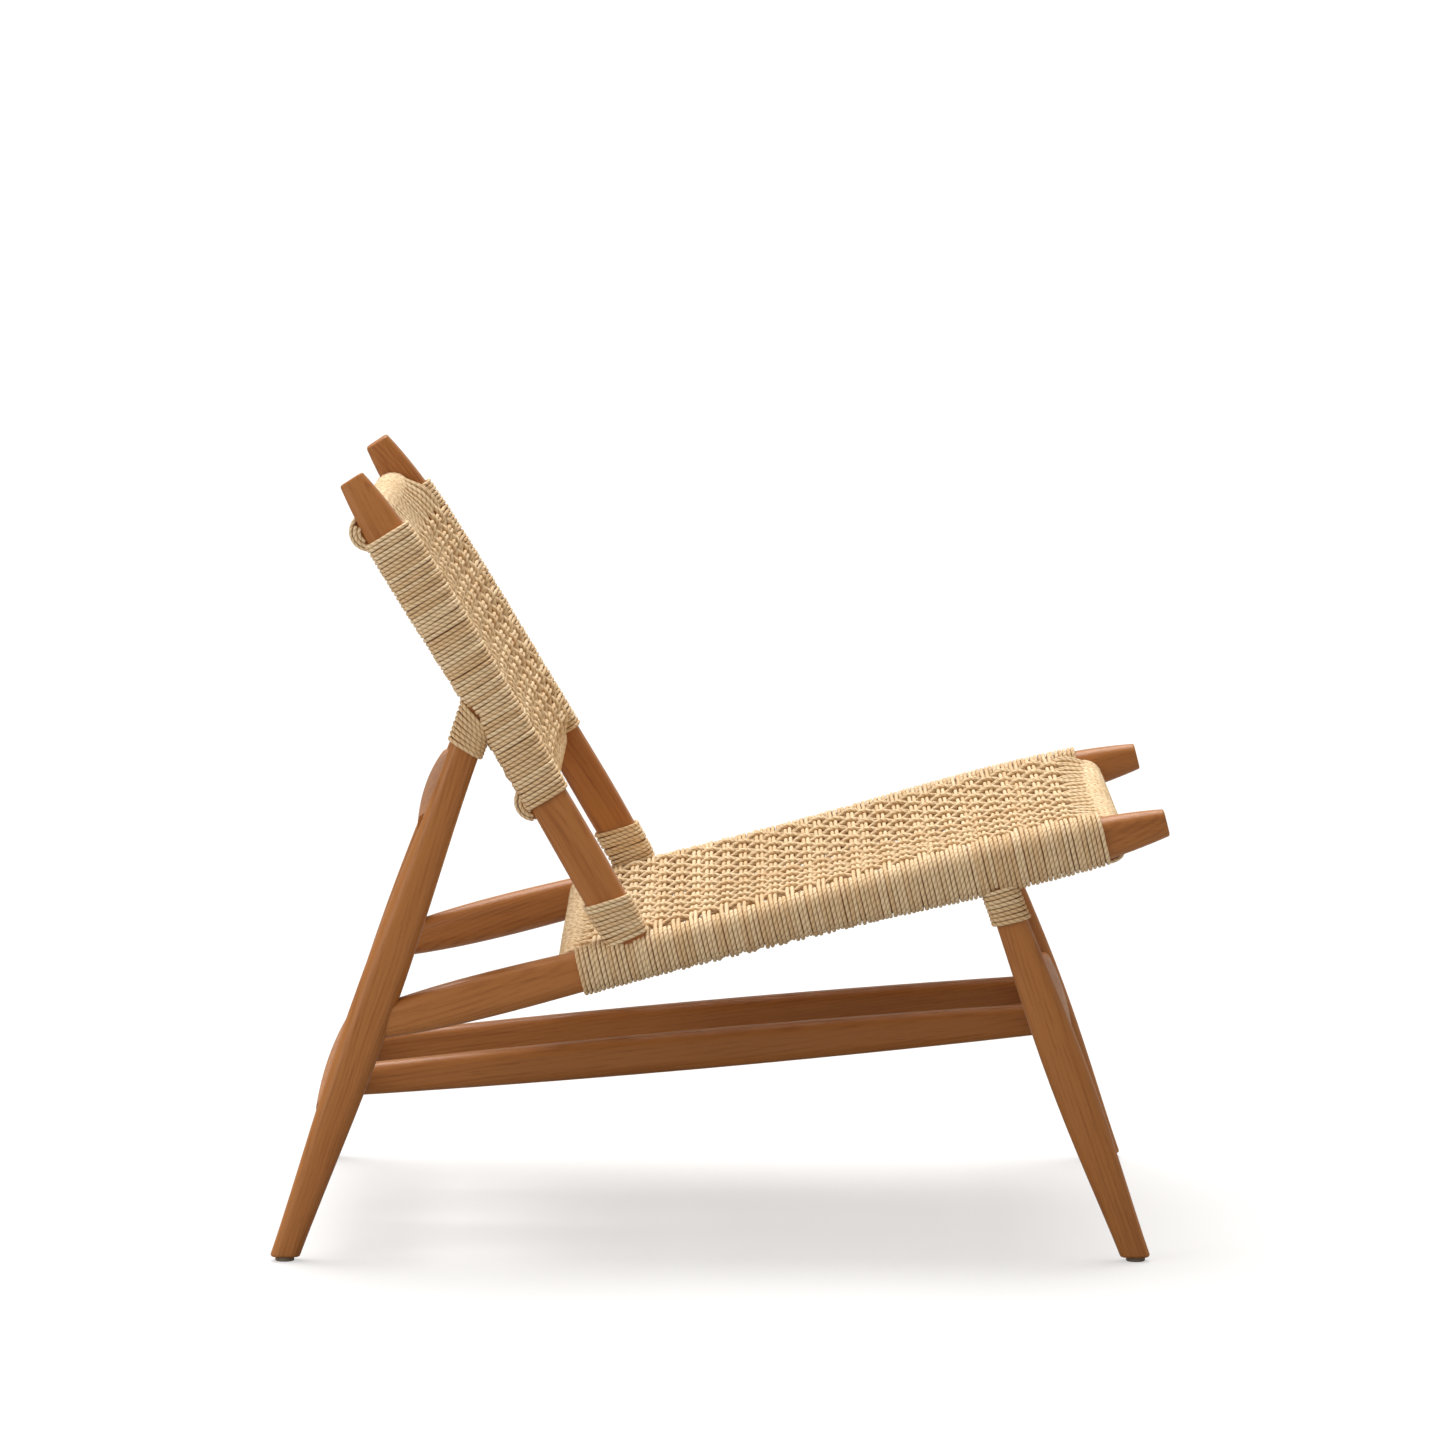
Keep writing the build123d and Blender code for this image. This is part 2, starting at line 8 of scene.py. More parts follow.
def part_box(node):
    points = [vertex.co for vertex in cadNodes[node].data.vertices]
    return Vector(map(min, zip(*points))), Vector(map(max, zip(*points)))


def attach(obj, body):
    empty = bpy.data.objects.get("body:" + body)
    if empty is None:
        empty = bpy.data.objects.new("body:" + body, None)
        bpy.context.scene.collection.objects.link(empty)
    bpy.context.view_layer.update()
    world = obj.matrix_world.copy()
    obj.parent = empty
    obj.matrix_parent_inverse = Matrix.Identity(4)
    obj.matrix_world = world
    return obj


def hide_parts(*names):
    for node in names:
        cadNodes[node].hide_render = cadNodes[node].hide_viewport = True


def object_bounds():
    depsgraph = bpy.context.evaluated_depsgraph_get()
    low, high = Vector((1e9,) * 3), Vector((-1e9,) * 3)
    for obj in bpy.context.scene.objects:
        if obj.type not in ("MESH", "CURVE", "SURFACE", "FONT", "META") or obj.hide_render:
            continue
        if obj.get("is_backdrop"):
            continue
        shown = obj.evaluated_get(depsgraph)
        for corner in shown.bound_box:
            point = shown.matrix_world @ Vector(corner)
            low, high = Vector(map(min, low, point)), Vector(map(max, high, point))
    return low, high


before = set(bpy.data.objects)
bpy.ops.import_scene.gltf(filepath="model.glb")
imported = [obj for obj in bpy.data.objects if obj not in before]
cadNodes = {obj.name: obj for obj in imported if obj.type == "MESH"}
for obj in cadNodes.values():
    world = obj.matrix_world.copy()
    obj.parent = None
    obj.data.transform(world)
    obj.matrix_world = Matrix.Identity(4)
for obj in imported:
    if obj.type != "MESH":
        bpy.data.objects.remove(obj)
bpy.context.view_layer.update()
mm = 0.001
chance = np.random.default_rng(41)
sides = {"right": -1, "left": 1}
print("frame loaded:", len(cadNodes), "nodes")

camera = {
    "place": (0.0234, -7.5, 1.2172),
    "turn": -0.1813,  # degrees, left or right of the chair's cross axis
    "down": 5.813,
    "lens": 204.3,
}


def placeCamera():
    data = bpy.data.cameras.new("camera")
    data.lens = camera["lens"]
    data.sensor_width = 36
    data.clip_end = 100
    made = bpy.data.objects.new("camera", data)
    bpy.context.collection.objects.link(made)
    turn, down = radians(camera["turn"]), radians(camera["down"])
    ahead = Vector((sin(turn) * cos(down), cos(turn) * cos(down), -sin(down)))
    made.location = camera["place"]
    made.rotation_mode = "QUATERNION"
    made.rotation_quaternion = ahead.to_track_quat("-Z", "Y")
    bpy.context.scene.camera = made


placeCamera()
print("camera placed")


# Shader maths

class Value:
    # a socket whose value changes over a surface, so that maths on it reads as sums
    def __init__(self, graph, socket):
        self.graph = graph
        self.socket = socket

    def maths(self, operation, first, second):
        node = self.graph.node("ShaderNodeMath", {"operation": operation}, {0: first, 1: second})
        return Value(self.graph, node.outputs[0])

    def wave(self, operation):
        # the value's SINE or COSINE
        node = self.graph.node("ShaderNodeMath", {"operation": operation}, {0: self})
        return Value(self.graph, node.outputs[0])

    def __add__(self, other):
        return self.maths("ADD", self, other)

    __radd__ = __add__

    def __sub__(self, other):
        return self.maths("SUBTRACT", self, other)

    def __rsub__(self, other):
        return self.maths("SUBTRACT", other, self)

    def __mul__(self, other):
        return self.maths("MULTIPLY", self, other)

    __rmul__ = __mul__

    def __pow__(self, other):
        return self.maths("POWER", self, other)


class Graph:
    # the nodes of one material or world
    def __init__(self, owner):
        owner.use_nodes = True
        self.tree = owner.node_tree
        self.tree.nodes.clear()

    def node(self, kind, settings=None, sockets=None):
        made = self.tree.nodes.new(kind)
        for key, value in (settings or {}).items():
            setattr(made, key, value)
        for key, value in (sockets or {}).items():
            if isinstance(value, Value):
                value = value.socket
            if isinstance(value, bpy.types.NodeSocket):
                self.tree.links.new(value, made.inputs[key])
            else:
                made.inputs[key].default_value = value
        return made

    def value(self, socket):
        return Value(self, socket)

    def along(self, vector, direction):
        node = self.node("ShaderNodeVectorMath", {"operation": "DOT_PRODUCT"}, {0: vector, 1: direction})
        return self.value(node.outputs["Value"])

    def noise(self, vector, scale, detail=3.0, roughness=0.5):
        sockets = {"Vector": vector, "Scale": scale, "Detail": detail, "Roughness": roughness}
        return self.value(self.node("ShaderNodeTexNoise", {}, sockets).outputs["Fac"])

    def fade(self, value, low, high):
        # 0 below low, 1 above high, smooth between
        settings = {"interpolation_type": "SMOOTHSTEP"}
        node = self.node("ShaderNodeMapRange", settings, {"Value": value, "From Min": low, "From Max": high})
        return self.value(node.outputs["Result"])

    def mix(self, share, first, second):
        node = self.node("ShaderNodeMix", {"data_type": "RGBA"}, {0: share, 6: first, 7: second})
        return node.outputs[2]

    def combine(self, x, y, z):
        return self.node("ShaderNodeCombineXYZ", {}, {0: x, 1: y, 2: z}).outputs[0]

    def bump(self, height, depth, strength=1.0):
        sockets = {"Height": height, "Distance": depth, "Strength": strength}
        return self.node("ShaderNodeBump", {}, sockets).outputs[0]

    def surface(self, sockets):
        shader = self.node("ShaderNodeBsdfPrincipled", {}, sockets)
        self.node("ShaderNodeOutputMaterial", {}, {"Surface": shader.outputs[0]})


def linear(red, green, blue):
    # a colour as seen on screen, 0 to 255, as the shader wants it
    shares = [level / 255 for level in (red, green, blue)]
    return (*[share / 12.92 if share < 0.04 else ((share + 0.055) / 1.055) ** 2.4 for share in shares], 1.0)


wood = {
    "pale": linear(177, 115, 60),
    "middle": linear(160, 99, 48),
    "dark": linear(134, 78, 35),
    "pore": linear(88, 46, 20),
    "roughness": 0.3,  # where neither streaks nor pores add to it
    "specular": 0.3,
    "lineSpacing": 3.4 * mm,  # between growth lines
    "pithAside": 55 * mm,  # how far the tree's centre is from the member
    "pithBelow": 30 * mm,
    "pithSlope": 0.05,  # how fast the member runs away from it
    "wander": 22 * mm,  # how far growth lines stray
    "streakScale": 210.0,
    "bandScale": 55.0,
    "stretch": 0.045,  # scale along the grain as a share of that across it
    "poreScale": 900.0,
    "poreStretch": 0.035,
    "poreShare": 0.28,
    "poreDepth": 0.12 * mm,
}


def woodMaterial(name, direction, turnOff):
    # oiled solid wood whose grain runs along one member
    made = bpy.data.materials.new(name)
    graph = Graph(made)
    grain = Vector(direction).normalized()
    flat = grain.orthogonal().normalized()
    flat = Matrix.Rotation(turnOff, 3, grain) @ flat
    deep = grain.cross(flat)
    place = graph.node("ShaderNodeTexCoord").outputs["Object"]
    length = graph.along(place, grain)
    across = graph.along(place, flat)
    depth = graph.along(place, deep)
    stretched = graph.combine(across, depth, length * wood["stretch"])
    stray = graph.noise(graph.combine(across, depth, length * 0.3), 14.0, 2.0)
    # growth lines are rings round the tree's centre, which the member runs past at a slight angle
    aside = across + wood["pithAside"] + length * wood["pithSlope"] + stray * wood["wander"]
    below = depth + wood["pithBelow"] + length * turnOff * 0.01
    radius = (aside ** 2 + below ** 2) ** 0.5
    lines = graph.fade((radius * (2 * pi / wood["lineSpacing"])).wave("SINE"), -0.2, 1.0)
    streaks = graph.noise(stretched, wood["streakScale"], 5.0, 0.62)
    bands = graph.fade(graph.noise(stretched, wood["bandScale"], 3.0), 0.35, 0.7)
    patches = graph.noise(place, 7.0, 2.0)
    poreCells = graph.combine(across, depth, length * wood["poreStretch"])
    pores = graph.fade(graph.noise(poreCells, wood["poreScale"], 2.0, 0.7), 0.58, 0.72)
    darker = lines * 0.14 + graph.fade(streaks, 0.36, 0.74) * 0.3 + bands * 0.5
    darkest = streaks * 0.7 + lines * 0.12 + patches * 0.4
    colour = graph.mix(graph.fade(darker, 0.1, 1.0), wood["pale"], wood["middle"])
    colour = graph.mix(graph.fade(darkest, 0.55, 1.1), colour, wood["dark"])
    colour = graph.mix(pores * wood["poreShare"], colour, wood["pore"])
    roughness = streaks * 0.16 + pores * 0.2 + wood["roughness"]
    normal = graph.bump(streaks * 0.4 - pores, wood["poreDepth"], 0.35)
    gloss = {"Roughness": roughness, "Specular IOR Level": wood["specular"]}
    graph.surface({"Base Color": colour, "Normal": normal, **gloss})
    return made


cordFinish = {
    "pale": linear(242, 219, 180),
    "middle": linear(225, 193, 148),
    # the dark colour serves as painted shade in the grooves between the strips, and as the tone of darker
    # fibres
    "dark": linear(158, 112, 64),
    "roughness": 0.78,
    "paintedGrooveShade": 0.5,  # how dark the painted shade in the groove between the strips is
    "grooveDepth": 0.25 * mm,
}


def cordMaterial(name):
    # two strips of twisted paper laid round each other
    made = bpy.data.materials.new(name)
    graph = Graph(made)
    run = graph.node("ShaderNodeAttribute", {"attribute_name": "cordRun"})
    parts = graph.node("ShaderNodeSeparateXYZ", {}, {0: run.outputs["Vector"]})
    turns, around, own = (graph.value(parts.outputs[i]) for i in range(3))
    strip = around - turns
    groove = graph.fade(0.5 - (strip * (4 * pi)).wave("COSINE") * 0.5, 0.5, 1.0)
    fibre = graph.noise(graph.combine(strip * 4.0, turns * 0.35, own * 90.0), 9.0, 4.0, 0.7)
    patches = graph.noise(graph.node("ShaderNodeTexCoord").outputs["Object"], 16.0, 2.0)
    tone = graph.fade(fibre * 0.5 + own * 0.5 + patches * 0.3, 0.35, 0.95)
    # painted shade darkens the groove between the strips; the darker fibres are the paper's own tone
    paintedShadeAndFibres = groove * cordFinish["paintedGrooveShade"] + graph.fade(fibre, 0.62, 0.8) * 0.22
    colour = graph.mix(tone, cordFinish["pale"], cordFinish["middle"])
    colour = graph.mix(paintedShadeAndFibres, colour, cordFinish["dark"])
    normal = graph.bump(fibre * 0.6 - groove, cordFinish["grooveDepth"], 0.5)
    roughness = cordFinish["roughness"] + groove * 0.12
    graph.surface({"Base Color": colour, "Roughness": roughness, "Normal": normal})
    return made


glideFinish = {
    "colour": linear(132, 116, 102),
    "scuffed": linear(100, 86, 74),
    "roughness": 0.5,
    "scuffScale": 900.0,
    "scuffDepth": 0.05 * mm,
}


def glideMaterial():
    made = bpy.data.materials.new("glide plastic")
    graph = Graph(made)
    place = graph.node("ShaderNodeTexCoord").outputs["Object"]
    scuffs = graph.noise(place, glideFinish["scuffScale"], 3.0)
    scuffed = graph.fade(scuffs, 0.45, 0.75) * 0.5
    colour = graph.mix(scuffed, glideFinish["colour"], glideFinish["scuffed"])
    normal = graph.bump(scuffs, glideFinish["scuffDepth"], 0.3)
    roughness = glideFinish["roughness"] + scuffs * 0.15
    graph.surface({"Base Color": colour, "Roughness": roughness, "Normal": normal})
    return made


# Cord as mesh

cord = {
    "thickness": 4.0 * mm,
    "hostThickness": 3.95 * mm,  # pressed flatter where it is wound round the rails and uprights
    "barThickness": 3.8 * mm,
    "lift": 2.05 * mm,  # from the wood to the cord's middle
    "twist": 11 * mm,  # length of one full turn of the two strips
    "groove": 0.13,  # share of the radius lost where the strips meet
    "endShare": 0.6,  # how thick a cut end is, as a share of the cord
    "sides": 8,
}


def lengths(steps):
    return np.linalg.norm(steps, axis=1)


class CordMesh:
    # many cords gathered into one mesh
    def __init__(self, thickness=cord["thickness"]):
        self.radius = thickness / 2
        self.points = []
        self.quads = []
        self.caps = []
        self.quadRuns = []
        self.capRuns = []
        self.count = 0

    def beyond(self, end, before):
        # a cut end reaches half a radius past the path's last point
        return end + (end - before) / np.linalg.norm(end - before) * self.radius * 0.5

    def lay(self, path, across, closed=False, loose=0.0):
        # across is a direction that the path never follows
        path, across = np.array(path, float), np.array(across)
        if loose:
            path += smoothDrift(len(path), closed) * loose
        grow = np.ones(len(path))
        if not closed:
            path = np.vstack([self.beyond(path[0], path[1]), path, self.beyond(path[-1], path[-2])])
            grow = np.concatenate([[cord["endShare"]], grow, [cord["endShare"]]])
        step = np.roll(path, -1, 0) - np.roll(path, 1, 0) if closed else np.gradient(path, axis=0)
        ahead = step / lengths(step)[:, None]
        side = across - ahead * (ahead @ across)[:, None]
        side /= lengths(side)[:, None]
        up = np.cross(ahead, side)
        pieces = lengths(np.diff(path, axis=0))
        length = pieces.sum() + (np.linalg.norm(path[0] - path[-1]) if closed else 0)
        turns = max(1, round(2 * length / cord["twist"])) / 2
        gone = np.concatenate([[0], np.cumsum(pieces)]) / length * turns
        start = chance.random()
        own = chance.random()
        angle = np.arange(cord["sides"]) * 2 * pi / cord["sides"]
        phase = (gone + start) * 2 * pi
        dip = cord["groove"] * (1 - np.cos(2 * (angle[None] - phase[:, None]))) / 2
        reach = (self.radius * (1 - dip) * grow[:, None])[..., None]
        outward = np.cos(angle)[:, None] * side[:, None] + np.sin(angle)[:, None] * up[:, None]
        self.addRings(path[:, None] + reach * outward, np.append(gone, turns) + start, own, closed)

    def addRings(self, rings, gone, own, closed):
        # faces between neighbouring rings, with what the material reads at their corners
        rows, count = rings.shape[:2]
        faceRows = rows if closed else rows - 1
        row = np.arange(faceRows)[:, None]
        nextRow = (row + 1) % rows
        spot = np.arange(count)[None]
        nextSpot = (spot + 1) % count
        near, far = row * count, nextRow * count
        corners = [near + spot, near + nextSpot, far + nextSpot, far + spot]
        self.quads.append(np.stack(corners, -1).reshape(-1, 4) + self.count)
        lower = np.broadcast_to(gone[:faceRows][:, None], (faceRows, count))
        upper = np.broadcast_to(gone[1:faceRows + 1][:, None], (faceRows, count))
        left = np.broadcast_to(spot / count, (faceRows, count))
        right = left + 1 / count
        runs = [(lower, left), (lower, right), (upper, right), (upper, left)]
        packed = np.stack([np.stack([u, v, np.full_like(u, own)], -1) for u, v in runs], 2)
        self.quadRuns.append(packed.reshape(-1, 3))
        if not closed:
            turn = np.arange(count)
            self.caps.append(turn[::-1] + self.count)
            self.caps.append(turn + (rows - 1) * count + self.count)
            self.capRuns.append(np.tile([0, 0.5, own], (2 * count, 1)))
        self.points.append(rings.reshape(-1, 3))
        self.count += rows * count

    def make(self, name, material, *replaced):
        mesh = bpy.data.meshes.new(name)
        points = np.vstack(self.points)
        quads = np.vstack(self.quads).ravel()
        caps = np.concatenate(self.caps) if self.caps else np.zeros(0, int)
        quadCount, capCount = len(quads) // 4, len(caps) // cord["sides"]
        mesh.vertices.add(len(points))
        mesh.vertices.foreach_set("co", points.ravel())
        mesh.loops.add(len(quads) + len(caps))
        mesh.loops.foreach_set("vertex_index", np.concatenate([quads, caps]))
        mesh.polygons.add(quadCount + capCount)
        capStarts = len(quads) + np.arange(capCount) * cord["sides"]
        mesh.polygons.foreach_set("loop_start", np.concatenate([np.arange(quadCount) * 4, capStarts]))
        mesh.polygons.foreach_set("use_smooth", np.ones(quadCount + capCount, bool))
        mesh.update(calc_edges=True)
        runs = np.vstack(self.quadRuns + self.capRuns)
        attribute = mesh.attributes.new("cordRun", "FLOAT_VECTOR", "CORNER")
        attribute.data.foreach_set("vector", runs.ravel())
        mesh.materials.append(material)
        made = bpy.data.objects.new(name, mesh)
        bpy.context.collection.objects.link(made)
        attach(made, "root")
        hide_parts(*replaced)
        print(name, "made:", quadCount, "faces")
        return made


def smoothDrift(count, closed):
    # slow sideways wandering along a cord, about 1 at most
    share = np.arange(count) / count
    drift = np.zeros((count, 3))
    for waves in range(1, 5):
        angle = share[:, None] * 2 * pi * waves + chance.random(3) * 2 * pi
        drift += np.sin(angle) * chance.normal(0, 0.35, 3)
    if not closed:
        drift *= np.sin(share * pi)[:, None] ** 0.3
    return drift


def smoothed(path, rounds):
    path = np.array(path, float)
    for _ in range(rounds):
        path[1:-1] = path[1:-1] * 0.5 + (path[:-2] + path[2:]) * 0.25
    return path


# Where the wood is

depsgraph = bpy.context.evaluated_depsgraph_get()


def treeOf(name):
    return BVHTree.FromObject(cadNodes[name], depsgraph)


def pointsOf(name):
    points = np.zeros(len(cadNodes[name].data.vertices) * 3)
    cadNodes[name].data.vertices.foreach_get("co", points)
    return points.reshape(-1, 3)


def surfaceFrom(tree, middle, direction, reach=0.08):
    # how far the wood's surface is from a point inside it, looking back from outside
    hit = tree.ray_cast(middle + direction * reach, -direction, reach)
    return reach - hit[3] if hit[0] else 0.0


def centred(tree, point, directions):
    # the point moved half way between the wood's two sides, in each direction in turn
    for direction in directions:
        ahead, behind = surfaceFrom(tree, point, direction), surfaceFrom(tree, point, -direction)
        point = point + direction * (ahead - behind) / 2
    return point


def lineOf(name, low, high):
    # two points on a member's centre line, at these shares of its length, lower one first
    points = pointsOf(name)
    middle = points.mean(0)
    run = np.linalg.svd(points - middle, full_matrices=False)[2][0]
    run = run if run[2] >= 0 else -run
    reach = (points - middle) @ run
    direction = Vector(run)
    flat = direction.orthogonal().normalized()
    deep = direction.cross(flat)
    found = []
    for share in (low, high):
        point = Vector(middle) + direction * (reach.min() + share * (reach.max() - reach.min()))
        found.append(centred(treeOf(name), point, (flat, deep, flat, deep)))
    return found


clearOfMortises = {
    "seat_rail_": (0.35, 0.65),
    "upright_": (0.25, 0.75),
    "front_leg_": (0.25, 0.75),
    "rear_leg_": (0.5, 0.66),
    "long_stretcher_": (0.25, 0.75),
}
lines = {}
for sideName in sides:
    for member, (low, high) in clearOfMortises.items():
        lines[member + sideName] = lineOf(member + sideName, low, high)
    lines["upright foot " + sideName] = lineOf("upright_" + sideName, 0.18, 0.4)
print("centre lines found:", len(lines))


def nearestOnLine(first, second):
    # where the first line passes nearest to the second
    (a, b), (c, d) = first, second
    u, v, w = b - a, d - c, a - c
    bottom = u.dot(u) * v.dot(v) - u.dot(v) ** 2
    share = (u.dot(v) * v.dot(w) - v.dot(v) * u.dot(w)) / bottom
    return a + u * share


def standing(line, host, way, radius):
    # a member that stands in a host: the joint, a point further out along it, and its radius
    joint = nearestOnLine(lines[line], lines[host])
    return joint, joint + (lines[line][1] - lines[line][0]) * way, radius


class Panel:
    # a woven surface strung between two bars
    # a point is given as along from the first bar, across the chair, and off the bars' centres
    def __init__(self, firstBar, secondBar, outward):
        self.first = self.centre(firstBar)
        second = self.centre(secondBar)
        self.length = (second - self.first).length
        self.run = (second - self.first).normalized()
        self.across = Vector((0, 1, 0))
        face = self.run.cross(self.across)
        self.face = face if face.dot(Vector(outward)) > 0 else -face
        low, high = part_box(firstBar)
        self.barRadius = (high.z - low.z) / 2

    def centre(self, bar):
        low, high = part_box(bar)
        return Vector(((low.x + high.x) / 2, 0, (low.z + high.z) / 2))

    def place(self, along, across, off):
        along, across, off = np.broadcast_arrays(along, across, off)
        return (np.array(self.first) + along[..., None] * np.array(self.run)
                + across[..., None] * np.array(self.across) + off[..., None] * np.array(self.face))

    def rangeOf(self, node):
        reach = (pointsOf(node) - np.array(self.first)) @ np.array(self.run)
        return reach.min(), reach.max()


turnSteps = 30
turnAngles = np.arange(turnSteps) * 2 * pi / turnSteps  # 0 is the panel's side, a quarter turn is outward


class Host:
    # a rail or upright that a panel's cross cords go round
    def __init__(self, panel, name, side, crossed):
        self.panel = panel
        self.tree = treeOf(name)
        self.side = side
        self.start, self.end = lines[name]
        self.crossed = crossed  # (joint, a point further out, radius) of members that stand in it

    def section(self, along):
        # the middle at this place, and how far the wood reaches from it at each turn angle
        panel = self.panel
        line = self.end - self.start
        share = (along - (self.start - panel.first).dot(panel.run)) / line.dot(panel.run)
        out = panel.across * self.side
        middle = centred(self.tree, self.start + line * share, (out, panel.face, out))
        radii = []
        for angle in turnAngles:
            direction = panel.face * cos(angle) + out * sin(angle)
            spots = [middle + panel.run * shift for shift in (-10 * mm, 0, 10 * mm)]
            radii.append(max(surfaceFrom(self.tree, spot, direction) for spot in spots))
        return middle, np.array(radii)

    def turn(self, along, angles, radii, middle, lift):
        allAngles, allRadii = np.append(turnAngles, 2 * pi), np.append(radii, radii[0])
        reach = np.interp(angles % (2 * pi), allAngles, allRadii) + lift
        off = (middle - self.panel.first).dot(self.panel.face) + reach * np.cos(angles)
        across = middle.y + self.side * reach * np.sin(angles)
        return self.panel.place(along, across, off)

    def clear(self, path):
        # which points are outside the members that stand in this one
        free = np.ones(len(path), bool)
        for start, end, radius in self.crossed:
            line = np.array(end - start)
            share = np.maximum((path - np.array(start)) @ line / (line @ line), 0)
            free &= np.linalg.norm(path - np.array(start) - share[:, None] * line, axis=1) > radius
        return free


def layClear(mesh, path, free, across, closed, loose=0.0):
    # a cord in the stretches that are free
    if free.all():
        mesh.lay(path, across, closed, loose)
        return
    if closed:
        turn = int(np.argmin(free))
        path, free = np.roll(path, -turn, 0), np.roll(free, -turn)
    stretch = []
    for point, isFree in zip(list(path) + [path[0]], list(free) + [False]):
        if isFree:
            stretch.append(point)
        else:
            if len(stretch) > 3:
                mesh.lay(stretch, across, loose=loose)
            stretch = []


def outside(trees, path):
    # which points are not inside any of these members
    free = np.ones(len(path), bool)
    for tree in trees:
        for number, point in enumerate(path):
            hit, normal = tree.ray_cast(Vector(point), Vector((0, 0, 1)))[:2]
            free[number] &= hit is None or normal.z < 0
    return free


def wobble(size):
    return chance.normal(0, size)


class Weave:
    # a panel's two layers and every wrapping that belongs to it
    def __init__(self, panel, hosts, names, plan):
        self.panel, self.hosts, self.names, self.plan = panel, hosts, names, plan
        self.overBar = panel.barRadius + cord["lift"]
        low, high = panel.rangeOf(names["hostWrap"] + "right")
        slotCount = int(round((high - low) / plan["hostPitch"]))
        self.slots = low + (np.arange(slotCount) + 0.5) * (high - low) / slotCount
        self.pairs = []
        at = plan["firstPair"]
        while at < slotCount - plan["lastPair"]:
            self.pairs.append(int(at))
            at += plan["turnsPerPair"]
        self.columnAt = np.array([(self.slots[pair] + self.slots[pair + 1]) / 2 for pair in self.pairs])
        self.sections = {}
        for side, host in hosts.items():
            for slot, along in enumerate(self.slots):
                self.sections[side, slot] = host.section(along)
        self.ends = [self.hostNear(slot) for slot in (plan["sampleSlot"], slotCount - 1 - plan["sampleSlot"])]
        innerHalf = self.ends[1]["inner"] - plan["margin"]
        self.groups = int(round(2 * innerHalf / plan["groupPitch"]))

    def hostNear(self, slot):
        # the host's middle, inner face, top and bottom at one turn
        middle, radii = self.sections["right", slot]
        level = (middle - self.panel.first).dot(self.panel.face)
        quarter = turnSteps // 4
        return {
            "middle": abs(middle.y),
            "inner": abs(middle.y) - radii[3 * quarter] - cord["thickness"],
            "top": level + radii[0] + cord["lift"],
            "bottom": level - radii[2 * quarter] - cord["lift"],
        }

    def between(self, item, along):
        first, last = self.ends[0][item], self.ends[1][item]
        return first + (last - first) * np.clip(along / self.panel.length, 0, 1)

    def pitchAt(self, along):
        return 2 * (self.between("inner", along) - self.plan["margin"]) / self.groups

    def surface(self, along, across, layer, over=0.0):
        # the middle of a layer, like a film between the bars' level and the hosts', which sags
        plan = self.plan
        share = np.clip(along / self.panel.length, over, 1 - over)
        half = self.between("middle", along) - plan["rimInset"]
        fromHost = np.cos(np.clip(across / half, -1, 1) * pi / 2)
        fromBar = np.sin(share * pi)
        barPull = plan["taut"] * fromBar * self.panel.length
        drawn = np.arctan2(barPull, fromHost * 2 * half + 1e-9) * 2 / pi
        bars = layer * self.overBar
        hosts = self.between("top" if layer > 0 else "bottom", along)
        sag = plan["sag" if layer > 0 else "underSag"] * fromBar * fromHost
        return bars + (hosts - bars) * drawn - sag

    def swingAt(self, number):
        # rounded swing between over and under
        wave = np.cos(number * pi)
        return np.sign(wave) * np.abs(wave) ** 0.7

    def layCrossCords(self, woven):
        # over the top, round one host, back underneath, round the other
        plan, panel, hosts = self.plan, self.panel, self.hosts
        outer = np.radians(np.arange(-14, 195, 11.0))
        for column, pair in enumerate(self.pairs):
            drift = wobble(0.12 * mm)
            for cordInPair in (0, 1):
                slot = pair + cordInPair
                along = self.slots[slot] + drift
                turns = {}
                for side, host in hosts.items():
                    middle, radii = self.sections[side, slot]
                    lift = cord["lift"] + abs(wobble(0.15 * mm))
                    turns[side] = host.turn(along, outer, radii, middle, lift)
                edge = self.between("middle", along) - plan["turnInset"]
                across = np.linspace(-edge, edge, int(2 * edge / plan["step"]))
                fromInner = self.between("inner", along) - np.abs(across)
                inside = np.clip((fromInner - plan["calmRim"]) / plan["calmFade"], 0, 1)
                number = across / self.pitchAt(along) + (self.groups - 1) / 2 + column
                swing = self.swingAt(number) * inside
                apart = (cordInPair - 0.5) * plan["pairOpen"] * (1 - np.abs(swing))
                layers = []
                for layer in (1, -1):
                    off = self.surface(along, across, layer, plan["endShare"])
                    off = off + layer * swing * plan["weftSwing"]
                    layers.append(panel.place(along + apart, across, off))
                path = np.vstack([turns["right"][::-1], layers[0], turns["left"], layers[1][::-1]])
                path = smoothed(path, 2)
                free = hosts["right"].clear(path) & hosts["left"].clear(path)
                layClear(woven, path, free, panel.run, True, plan["loose"])

    def layLongCords(self, woven):
        # over the top, round one bar, back underneath, round the other
        plan, panel, columnAt = self.plan, self.panel, self.columnAt
        around = np.radians(np.arange(78, -79, -13.0))
        along = np.arange(plan["step"], panel.length - plan["step"], plan["step"])
        nearBar = np.clip(np.minimum(along, panel.length - along) / plan["barFade"], 0, 1)
